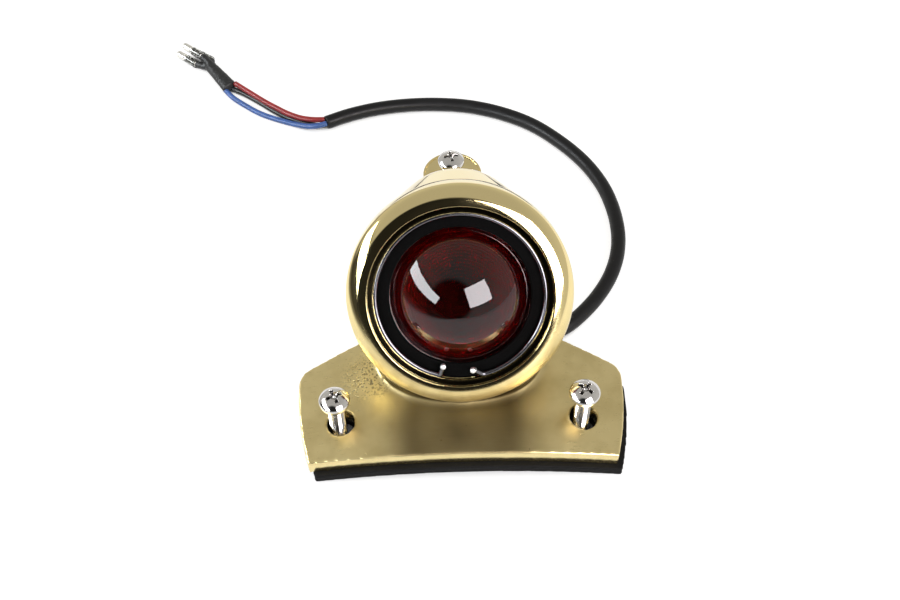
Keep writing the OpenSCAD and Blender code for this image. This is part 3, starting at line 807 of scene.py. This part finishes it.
class TAILLAMP_OT_stage(bpy.types.Operator):
    """Adds the camera, the floor, the world and two soft boxes"""

    bl_idname = "tail_lamp.stage"
    bl_label = "Stage"

    def execute(self, context):
        stage = context.scene.tail_lamp.stage
        context.scene.view_settings.view_transform = "Standard"
        self.add_camera(context.scene, stage)
        self.add_floor(stage)
        self.light_world(context.scene)
        for name, box in SOFT_BOXES.items():
            self.add_soft_box(name, stage.lamp_glow, *box)
        return {"FINISHED"}

    def way_to(self, azimuth, elevation):
        """Direction at a bearing from the front and a height above the table."""
        return Vector((math.sin(azimuth) * math.cos(elevation),
                       -math.cos(azimuth) * math.cos(elevation), math.sin(elevation)))

    def add_camera(self, scene, stage):
        back = self.way_to(stage.azimuth, stage.elevation)
        data = bpy.data.cameras.new("camera")
        data.lens = stage.focal_length
        data.sensor_width = 36
        data.clip_start, data.clip_end = 0.01, 20
        camera = add_object("camera", data)
        camera.rotation_mode = "QUATERNION"
        camera.location = Vector(stage.target) + back * stage.distance
        turn = (-back).to_track_quat("-Z", "Y").to_matrix().to_4x4()
        camera.rotation_quaternion = (turn @ Matrix.Rotation(stage.roll, 4, "Z")).to_quaternion()
        scene.camera = camera

    def add_floor(self, stage):
        corners = [(x * FLOOR_HALF, y * FLOOR_HALF, 0) for x, y in ((-1, -1), (1, -1), (1, 1), (-1, 1))]
        floor = add_piece("floor", corners, [[0, 1, 2, 3]])
        floor.data.materials.append(stage_material(tuple(stage.floor_colour)))

    def light_world(self, scene):
        """White to the eye; in the metal a grey room, dark about the camera and low on the left."""
        world = bpy.data.worlds.new("studio")
        scene.world = world
        world.use_nodes = True
        tree = world.node_tree
        tree.nodes.clear()
        way = add_node(tree, "ShaderNodeTexCoord").outputs["Generated"]
        parts = add_node(tree, "ShaderNodeSeparateXYZ", {0: way})
        rise = remap(tree, parts.outputs["Z"], 0.1, 0.9, 0.62, 0.48)
        front = remap(tree, dot(tree, way, (-0.22, -0.87, 0.44)), 0.80, 0.89, 1.0, 0.03)
        left = remap(tree, dot(tree, way, (-0.93, -0.36, -0.05)), 0.72, 0.90, 1.0, 0.08)
        room = times(tree, rise, times(tree, front, left))
        seen = add_node(tree, "ShaderNodeLightPath").outputs["Is Camera Ray"]
        sky = add_node(tree, "ShaderNodeBackground", {
            "Color": (1, 0.975, 0.92, 1),
            "Strength": calc(tree, "MAXIMUM", room, times(tree, seen, 1.1))})
        out = add_node(tree, "ShaderNodeOutputWorld")
        tree.links.new(sky.outputs[0], out.inputs["Surface"])

    def add_soft_box(self, name, glow, azimuth, elevation, size, tint):
        """Its plain light and, seen in gloss alone, its brighter face."""
        way = self.way_to(math.radians(azimuth), math.radians(elevation))
        for part, share in (("light", 0.12), ("face", 1.0)):
            data = bpy.data.lights.new(name + "_" + part, "AREA")
            data.shape = "RECTANGLE"
            data.size, data.size_y = size
            data.energy = share * glow * math.pi * size[0] * size[1]
            data.color = tint
            data.cycles.use_multiple_importance_sampling = part == "face"
            lamp = add_object(name + "_" + part, data)
            lamp.location = LENS_CENTRE + way * BOX_DISTANCE
            lamp.rotation_mode = "QUATERNION"
            lamp.rotation_quaternion = (-way).to_track_quat("-Z", "Y")
            lamp.visible_diffuse = part == "light"
            lamp.visible_glossy = part == "face"
            lamp.visible_transmission = part == "face"


class TAILLAMP_OT_cable(bpy.types.Operator):
    """Adds the sheath, its wires and leads, the wrap and the terminals"""

    bl_idname = "tail_lamp.cable"
    bl_label = "Cable"

    def execute(self, context):
        colours = context.scene.tail_lamp.cable
        brass = steel_material("tinned_brass", (0.93, 0.92, 0.86), 0.3, 0.6)
        clear = clear_material("clear_plastic", (0.97, 0.98, 0.96), 0.05)
        ends = {name: self.add_terminal(name, brass, clear) for name in BULLET_AT}
        wrap = self.add_wrap()
        path = smooth_path(SHEATH_ROUTE)
        sheath = sweep("sheath", path, SHEATH_R * MM, sides=32, end_chamfer=0.12)
        plastic = insulation_material("sheath_plastic", tuple(colours.sheath), 0.36, 0.3)
        fit_out(sheath, "cable_black", plastic, "cable_sheath")
        for name, route in WIRE_ROUTES.items():
            plastic = insulation_material(name + "_plastic", tuple(getattr(colours, name)), 0.28)
            path = smooth_path(route)
            wire = sweep(name + "_core", path, WIRE_R * MM, sides=20)
            fit_out(wire, name + "_insulation", plastic, name + "_wire")
            lead = sweep(name + "_inner_core", smooth_path(LEAD_ROUTES[name]), WIRE_R * MM, sides=20)
            fit_out(lead, name + "_insulation", plastic, name + "_lead")
        return {"FINISHED"}

    def add_wrap(self):
        """Shrunk wrap: the solid's shape with soft edges and creases."""
        voxel, crease_depth = 0.00022, 0.00012
        wrap = dense_copy("wrap", "heat_shrink", voxel)
        net = Net(wrap.data)
        points = net.blurred(net.even_out(get_points(wrap.data), 8), 3)
        set_points(wrap.data, points)
        crease = ripple(points, 900, 3.1) + 0.5 * ripple(points, 2200, 8.7)
        set_points(wrap.data, points + get_normals(wrap.data) * crease[:, None] * crease_depth)
        plastic = insulation_material("shrunk_wrap", (0.022, 0.023, 0.024), 0.42)
        return fit_out(wrap, "wrap_black", plastic, "heat_shrink")

    def add_terminal(self, name, brass, clear):
        """A round terminal with a crimped barrel, and the clear sleeve on the barrel."""
        barrel, plug_r = BULLET_LEN - PLUG_LEN, BULLET_R - 0.02
        section = rounded([
            (0, 0, 0), (1.1, 0, 0), (1.4, 0.3, 0.15), (1.42, 1.1, 0.2), (1.12, 1.6, 0.25),
            (1.12, 2.3, 0.25), (1.42, 2.8, 0.2), (1.42, 3.5, 0.2), (1.16, 3.9, 0.2),
            (1.16, 4.5, 0.2), (1.42, 4.9, 0.2), (1.42, barrel, 0.15), (1.0, barrel + 0.5, 0.15),
            (1.0, barrel + 1, 0.15), (plug_r, barrel + 1.5, 0.3), (plug_r, BULLET_LEN - BULLET_R, 0.1)])
        nose = arc((0, BULLET_LEN - BULLET_R), plug_r, 10, 84, 8)
        place = (Matrix.Translation(Vector(BULLET_AT[name]) * MM)
                 @ Matrix.Rotation(BULLET_HEADING, 4, "Z") @ Matrix.Rotation(math.pi / 2, 4, "Y"))
        bullet = lathe(name + "_terminal", section + nose + [(0, BULLET_LEN - 0.02)], place, 48)
        fit_out(bullet, "terminal_brass", brass, name + "_bullet")
        wall_r = BULLET_R + SLEEVE_WALL
        tube = rounded([(BULLET_R, 0.1, 0.05), (wall_r, 0, 0.08), (wall_r, barrel, 0.08),
                        (BULLET_R, barrel - 0.1, 0.05)], closed=True)
        sleeve = lathe(name + "_clear_sleeve", tube, place, 48, closed=True)
        fit_out(sleeve, "clear_sleeve", clear, name + "_sleeve")
        return [bullet, sleeve]


class TAILLAMP_OT_housing(bpy.types.Operator):
    """Adds the cast brass housing and its polished rim"""

    bl_idname = "tail_lamp.housing"
    bl_label = "Housing"

    def execute(self, context):
        metal = context.scene.tail_lamp.metal
        brass = brass_material(metal)
        fit_out(self.add_casting(metal.voxel), "brass", brass, "housing")
        fit_out(self.add_rim(), "brass", brass)
        fit_out(self.add_pocket_wall(), "brass", brass)
        return {"FINISHED"}

    def add_casting(self, voxel):
        """The solid with soft corners and edges, and with its finishes and its painted shade stored per
        point.
        """
        casting = dense_copy("casting", "housing", voxel)
        mesh = casting.data
        net = Net(mesh)
        points = self.add_fillets(mesh, net, net.even_out(get_points(mesh), 12))
        points = self.sink_under_rim(points)
        set_points(mesh, points)
        lift = self.lift_over_mudguard(points)
        put_value(mesh, "satin", net.blurred(self.satin_places(lift), 4))
        put_value(mesh, "grit", self.gritty_places(points, lift))
        # Painted shade where the rim overhangs the plate: darkened to the tarnish colour.
        put_value(mesh, "unpolished", self.painted_shade_places(points, lift))
        return casting

    def add_fillets(self, mesh, net, points):
        """Rounds the inner corners as a casting has them."""
        faint, sharp, rounds = 0.000004, 0.000012, 50
        set_points(mesh, points)
        inward = ((net.mean(points) - points) * get_normals(mesh)).sum(1)
        hollow = blend_step(net.blurred(inward, 6), faint, sharp)
        weight = np.clip(net.blurred(hollow, 14) * 2.2, 0, 1)[:, None]
        for _ in range(rounds):
            points = points + 0.5 * weight * (net.mean(points) - points)
        return points

    def sink_under_rim(self, points):
        """Draws the casting in where the turned rim covers it."""
        x, y, w = lens_place(points)
        r = np.hypot(x, y)
        inside = (blend_step(w, BAND_BACK_W, BAND_BACK_W + 0.5)
                  * (1 - blend_step(r, BEZEL_R + 0.2, BEZEL_R + 0.6)))
        middle = (BEZEL_R + BORE_R) / 2
        new_r = middle + (r - middle) * (1 - SINK * inside)
        new_w = np.where(w > 0, w * (1 - SINK * inside), w)
        shrink = new_r / np.maximum(r, 1e-6)
        moved = np.stack([x * shrink, y * shrink, new_w], 1) * MM
        return moved @ np.array(ON_AXIS.to_3x3()).T + np.array(LENS_CENTRE)

    def lift_over_mudguard(self, points):
        """Height of each point above the mudguard, in millimetres."""
        x, y, z = points.T / MM
        out = np.hypot(y - WHEEL_Y, z - WHEEL_Z) - (GUARD_R - CROWN_R)
        return np.hypot(x - MIDDLE_X, out) - CROWN_R

    def satin_places(self, lift):
        """The top of the base, and less so its sides."""
        base = 1 - blend_step(lift, PLATE_LIFT + 0.4, PLATE_LIFT + 3.5)
        return base * (0.4 + 0.6 * blend_step(lift, PLATE_LIFT - 1.2, PLATE_LIFT - 0.5))

    def gritty_places(self, points, lift):
        """The rough cast skin that is left in the corner under the rim on the left."""
        corner = np.array(Vector((-30, -35, 12)) * MM)
        away = np.linalg.norm(points - corner, axis=1) / MM
        return (1 - blend_step(away, 3, 11)) * (1 - blend_step(lift, PLATE_LIFT + 4, PLATE_LIFT + 8))

    def painted_shade_places(self, points, lift):
        """Painted shade on the middle of the front plate and in the corner behind it, which the rim
        overhangs.
        """
        x, y, _ = points.T / MM
        middle = 1 - blend_step(np.abs(x - MIDDLE_X), 14, 33)
        front = 1 - blend_step(y, -32, -20)
        corner = blend_step(lift, PLATE_LIFT + 0.1, PLATE_LIFT + 0.9)
        corner = corner * (1 - blend_step(np.abs(x - MIDDLE_X), 22, 30))
        low = 1 - blend_step(lift, PLATE_LIFT + 9, PLATE_LIFT + 14)
        low = low * blend_step(lift, PLATE_LIFT - 0.6, PLATE_LIFT - 0.2)
        patches = 1 + 0.15 * ripple(points, 90, 4.2)
        return np.clip(front * low * np.maximum(0.88 * middle, 0.92 * corner) * patches, 0, 1)

    def add_rim(self):
        """The rolled rim, with painted shade that makes it brown inside its mouth, satin along the
        bottom and bright elsewhere.
        """
        rim = lathe("rolled_rim", self.rim_section(), ON_AXIS, 288, closed=True)
        x, y, _ = lens_place(get_points(rim.data))
        r = np.hypot(x, y)
        low = blend_step(-y / r, 0.0, 0.75)
        # Painted shade: the bore inside the mouth is darkened to the tarnish colour.
        put_value(rim.data, "unpolished", 0.97 * (1 - blend_step(r, MOUTH_R - 0.06, MOUTH_R)))
        put_value(rim.data, "satin", 1.8 * low * blend_step(r, MOUTH_R + 0.8, MOUTH_R + 2.4))
        return rim

    def rim_section(self):
        """Part of an ellipse, a worn flat face at the mouth, then the bore with its groove."""
        roll_steps, face_steps = 28, 8
        width = BEZEL_R - MOUTH_R
        knee = math.acos(LIP_KNEE / width)
        roll = []
        for i in range(roll_steps + 1):
            a = knee * i / roll_steps
            roll.append((MOUTH_R + width * math.cos(a), LIP_DEPTH * math.sin(a)))
        for i in range(face_steps + 1):
            out = LIP_FACE_WIDTH * (1 - i / face_steps)
            roll.append((MOUTH_R + out, LIP_FACE_W - 0.035 * out ** 2))
        mouth_w = LIP_DEPTH - MOUTH_TAPER
        edge = rounded([
            (roll[-2][0], roll[-2][1], 0), (MOUTH_R, LIP_FACE_W, 0.15), (MOUTH_R - 0.08, mouth_w, 0.1),
            (BORE_R, mouth_w - 0.15, 0.15), (BORE_R, mouth_w - 0.3, 0)])
        half = math.degrees(math.acos((BORE_R - RING_R) / GROOVE_R))
        groove = arc((RING_R, RING_W), GROOVE_R, half, -half, 8)
        back = rounded([
            (BORE_R, 0, 0), (BORE_R, BAND_BACK_W, 0), (BEZEL_R - 1.6, BAND_BACK_W, 0),
            (BEZEL_R, BAND_BACK_W, 0.4), (BEZEL_R, -0.5, 0)])
        return back + roll[:-1] + edge[1:] + groove

    def add_pocket_wall(self):
        """The thin wall round the pocket in the tail lug."""
        low = LUG_TOP - 1.6
        section = rounded([(POCKET_R, low, 0), (LUG_R, low, 0), (LUG_R, LUG_TOP, 0.25),
                           (POCKET_R, LUG_TOP, 0.25)], closed=True)
        place = Matrix.Translation(Vector((MIDDLE_X, LUG_Y, 0)) * MM)
        return lathe("pocket_wall", section, place, 128, closed=True)


class TAILLAMP_OT_lens(bpy.types.Operator):
    """Adds the bullseye lens, its rubber ring and the snap ring"""

    bl_idname = "tail_lamp.lens"
    bl_label = "Lens"

    def execute(self, context):
        settings = context.scene.tail_lamp
        self.add_glass(settings.lens)
        self.add_gasket()
        self.add_snap_ring(settings.metal)
        return {"FINISHED"}

    def add_gasket(self):
        """The rubber ring on the flange of the lens."""
        low, high = GASKET_W
        section = rounded([(WINDOW_R, low, 0.15), (INSERT_R, low, 0.15), (INSERT_R, high, 0.25),
                           (WINDOW_R, high, 0.4)], closed=True)
        ring = lathe("lens_rubber", section, ON_AXIS, closed=True)
        rubber = rubber_material("lens_ring_rubber", (0.003, 0.003, 0.003), 0.75, 0.04)
        fit_out(ring, "rubber", rubber, "lens_gasket")

    def add_glass(self, lens):
        """The bullseye and its flange in one turned section, with pressed rings on the back."""
        back, front = FLANGE_W
        sphere_r = (DOME_R ** 2 + DOME_H ** 2) / (2 * DOME_H)
        edge = math.degrees(math.asin(DOME_R / sphere_r))
        dome = arc((0, front + DOME_H - sphere_r), sphere_r, 90 - edge, 90, 48)
        depth, pitch = lens.ring_depth / MM, DOME_R / (lens.rings + 1)
        rings = []
        for i in range(8 * lens.rings + 1):
            wave = 0.5 - 0.5 * math.cos(math.pi * i / 4)
            rings.append((pitch * (1 + i / 8), back + depth * wave))
        ribs = []
        for i in range(8 * lens.ribs + 1):
            r = WINDOW_R - 0.2 + (DOME_R + 0.35 - WINDOW_R) * i / (8 * lens.ribs)
            ribs.append((r, front - 0.12 + 0.12 * math.cos(math.pi * i / 4)))
        flange = rounded([(DOME_R, back, 0), (INSERT_R, back, 0.12), (INSERT_R, front, 0.2),
                          (WINDOW_R, front, 0)]) + ribs
        section = [(0, back)] + rings + flange + dome[:-1] + [(0, front + DOME_H)]
        glass = lathe("bullseye", section, ON_AXIS)
        fit_out(glass, "red_lens", glass_material("red_glass", tuple(lens.glass), False), "lens")
        glass.data.materials.append(glass_material("faceted_glass", tuple(lens.glass), True))
        axis = ON_AXIS.to_3x3() @ Vector((0, 0, 1))
        limit = (back + depth + 0.05) * MM
        for face in glass.data.polygons:
            face.material_index = 1 if (face.center - LENS_CENTRE).dot(axis) < limit else 0
        x, y, _ = lens_place(get_points(glass.data))
        # Painted light: this mask brightens the glass towards its border.
        put_value(glass.data, "border", blend_step(np.hypot(x, y), 0.4 * DOME_R, WINDOW_R))

    def add_snap_ring(self, metal):
        """Spring wire round the bore, its ends bent inward and then up, and cut off bright."""
        steps, bend_r, cut_reach = 120, 0.9, 2.6
        ring = [Vector((x, y, RING_W)) for x, y in arc((0, 0), RING_R, RING_START,
                                                       RING_START + RING_TURN, steps)]
        right, left = ring[0] + RING_BENDS[0], ring[-1] + RING_BENDS[1]
        right_end, left_end = right + RING_STUB, left + RING_STUB
        path = rounded([(*right_end, 0), (*right, bend_r), (*ring[0], bend_r), (*ring[3], 0)], steps=6)
        path += [tuple(p) for p in ring[4:-4]]
        path += rounded([(*ring[-4], 0), (*ring[-1], bend_r), (*left, bend_r), (*left_end, 0)], steps=6)
        path = [ON_AXIS @ (Vector(p) * MM) for p in path]
        wire = sweep("spring_ring", path, RING_WIRE_R * MM, end_chamfer=0.2)
        steel = steel_material("spring_wire", tuple(metal.spring), 0.16, 0.0)
        fit_out(wire, "spring_steel", steel, "snap_ring")
        wire.data.materials.append(steel_material("cut_wire", (0.85, 0.85, 0.83), 0.42, 0.3))
        ends = [ON_AXIS @ (e * MM) for e in (right_end, left_end)]
        for face in wire.data.polygons:
            near = min((face.center - e).length for e in ends)
            face.material_index = 1 if near < cut_reach * MM else 0


class TAILLAMP_OT_insert(bpy.types.Operator):
    """Gives the led insert behind the lens its finishes"""

    bl_idname = "tail_lamp.insert"
    bl_label = "Led Insert"

    def execute(self, context):
        led_red = clear_material("led_epoxy", (0.75, 0.02, 0.02), 0.08)
        dark = insulation_material("part_bodies", (0.02, 0.02, 0.022), 0.4)
        finishes = {
            "spacer_ring": insulation_material("spacer_plastic", (0.02, 0.02, 0.02), 0.45),
            "led_board": board_material(),
            "tail_leds": led_red,
            "brake_leds": led_red,
            "resistors": dark,
            "diodes": dark,
            "solder_joints": steel_material("solder", (0.72, 0.72, 0.70), 0.2, 0.2),
        }
        for name, material in finishes.items():
            NODES[name].data.materials.clear()
            NODES[name].data.materials.append(material)
        return {"FINISHED"}


class TAILLAMP_OT_screws(bpy.types.Operator):
    """Adds the three loose screws with their threads and cross recesses"""

    bl_idname = "tail_lamp.screws"
    bl_label = "Screws"

    def execute(self, context):
        chrome = tuple(context.scene.tail_lamp.metal.chrome)
        steel = steel_material("plated_screw", chrome, 0.05, 0.3)
        for node, (body, turn) in SCREWS.items():
            self.add_screw(node, body, math.radians(turn), steel)
        return {"FINISHED"}

    def add_screw(self, node, body, turn, steel):
        low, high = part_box(node)
        length = (high.z - low.z) / MM - HEAD_H
        place = (Matrix.Translation(Vector(((low.x + high.x) / 2, (low.y + high.y) / 2, low.z)))
                 @ Matrix.Rotation(turn, 4, "Z"))
        points, faces = self.thread(length)
        shank = add_piece(node + "_thread", points, faces, place, sharp=30)
        points, faces = self.head(length)
        head = add_piece(node + "_head", points, faces, place, sharp=60)
        fit_out(shank, "screw_steel", steel, body=body)
        fit_out(head, "screw_steel", steel, node, body=body)

    def thread(self, length):
        """A rolled thread: the radius rises and falls with the turn and the height."""
        sides, per_pitch, chamfer = 48, 10, 0.5
        steps = int(length / THREAD_PITCH * per_pitch)
        points = []
        for i in range(steps + 1):
            z = length * i / steps
            for k, a in enumerate(turns(sides)):
                phase = (z / THREAD_PITCH - k / sides) % 1
                crest = min(1, max(0, 1.35 - 2.9 * abs(phase - 0.5)))
                r = THREAD_ROOT_R + (SCREW_R - THREAD_ROOT_R) * crest
                r = min(r, SCREW_R - chamfer + z)
                points.append(Vector((r * math.cos(a), r * math.sin(a), z)) * MM)
        return points, bar_faces(steps + 1, sides)

    def head(self, length):
        """A domed head on a fine round grid, with a cross recess that narrows downward."""
        sides, rings = 160, 64
        side_top, crown_r = length + HEAD_SIDE_H, HEAD_R - 0.18
        dome_h = HEAD_H - HEAD_SIDE_H
        dome_r = (HEAD_R ** 2 + dome_h ** 2) / (2 * dome_h)
        points = [Vector((0, 0, length + HEAD_H - RECESS_DEPTH)) * MM]
        for i in range(1, rings + 1):
            r = crown_r * i / rings
            crown = length + HEAD_H - dome_r + math.sqrt(dome_r ** 2 - r * r)
            for a in turns(sides):
                x, y = r * math.cos(a), r * math.sin(a)
                points.append(Vector((x, y, crown - self.recess(x, y))) * MM)
        skirt = rounded([(crown_r, side_top + 0.1, 0), (HEAD_R, side_top - 0.1, 0.2),
                         (HEAD_R, length, 0.2), (SCREW_R - 0.6, length, 0)])[1:]
        for r, z in skirt:
            points += [Vector((r * math.cos(a), r * math.sin(a), z)) * MM for a in turns(sides)]
        rows = rings + len(skirt)
        middle = [[0, 1 + k, 1 + (k + 1) % sides] for k in range(sides)]
        under = [1 + (rows - 1) * sides + k for k in range(sides)][::-1]
        return points, middle + tube_faces(rows, sides, first=1, flip=True) + [under]

    def recess(self, x, y):
        """Depth of the cross recess at a place on the head."""
        long, half = RECESS_WING
        wings = [max(abs(u) - long, abs(v) - half) for u, v in ((x, y), (y, x))]
        eye = math.hypot(x, y) - RECESS_EYE_R
        inside = max(0.0, 0.06 - min(*wings, eye))
        floor = RECESS_DEPTH * (1 - 0.42 * min(1, math.hypot(x, y) / long) ** 1.5)
        wall = 3.4 * inside
        return wall * floor / (wall ** 4 + floor ** 4) ** 0.25


class TAILLAMP_OT_pad(bpy.types.Operator):
    """Adds the rubber pad under the base"""

    bl_idname = "tail_lamp.pad"
    bl_label = "Pad"

    def execute(self, context):
        voxel, saw_depth = 0.0005, 0.00013
        pad = dense_copy("base_pad", "base_gasket", voxel)
        net = Net(pad.data)
        points = net.even_out(get_points(pad.data), 5)
        set_points(pad.data, points)
        normals = get_normals(pad.data)
        cut_side = blend_step(1 - np.abs(normals[:, 2]), 0.35, 0.8)
        rough = 0.6 * ripple(points, 260, 5.3) + 0.4 * ripple(points, 900, 1.9)
        set_points(pad.data, points + normals * (cut_side * (rough - 1.4))[:, None] * saw_depth)
        rubber = rubber_material("cut_rubber", (0.006, 0.006, 0.006), 0.62, 0.12)
        fit_out(pad, "pad_rubber", rubber, "base_gasket")
        return {"FINISHED"}


class TAILLAMP_PT_panel(bpy.types.Panel):
    """Lists the pieces of the tail lamp"""

    bl_label = "Tail Lamp"
    bl_idname = "TAILLAMP_PT_panel"
    bl_space_type = "VIEW_3D"
    bl_region_type = "UI"
    bl_category = "Tail Lamp"

    def draw(self, context):
        for operator in OPERATORS:
            self.layout.operator(operator.bl_idname)
        settings = context.scene.tail_lamp
        for group in (settings.stage, settings.metal, settings.lens, settings.cable):
            box = self.layout.box()
            for key in group.__annotations__:
                box.prop(group, key)


OPERATORS = (
    TAILLAMP_OT_stage, TAILLAMP_OT_cable, TAILLAMP_OT_housing, TAILLAMP_OT_lens,
    TAILLAMP_OT_insert, TAILLAMP_OT_screws, TAILLAMP_OT_pad,
)
CLASSES = (
    TailLampStage, TailLampMetal, TailLampLens, TailLampCable, TailLampSettings, *OPERATORS,
    TAILLAMP_PT_panel,
)


def register():
    for made in CLASSES:
        bpy.utils.register_class(made)
    bpy.types.Scene.tail_lamp = PointerProperty(type=TailLampSettings)


def unregister():
    del bpy.types.Scene.tail_lamp
    for made in reversed(CLASSES):
        bpy.utils.unregister_class(made)


def main():
    register()
    bpy.ops.tail_lamp.stage()
    bpy.ops.tail_lamp.cable()
    bpy.ops.tail_lamp.housing()
    bpy.ops.tail_lamp.lens()
    bpy.ops.tail_lamp.insert()
    bpy.ops.tail_lamp.screws()
    bpy.ops.tail_lamp.pad()


if __name__ == "__main__":
    main()
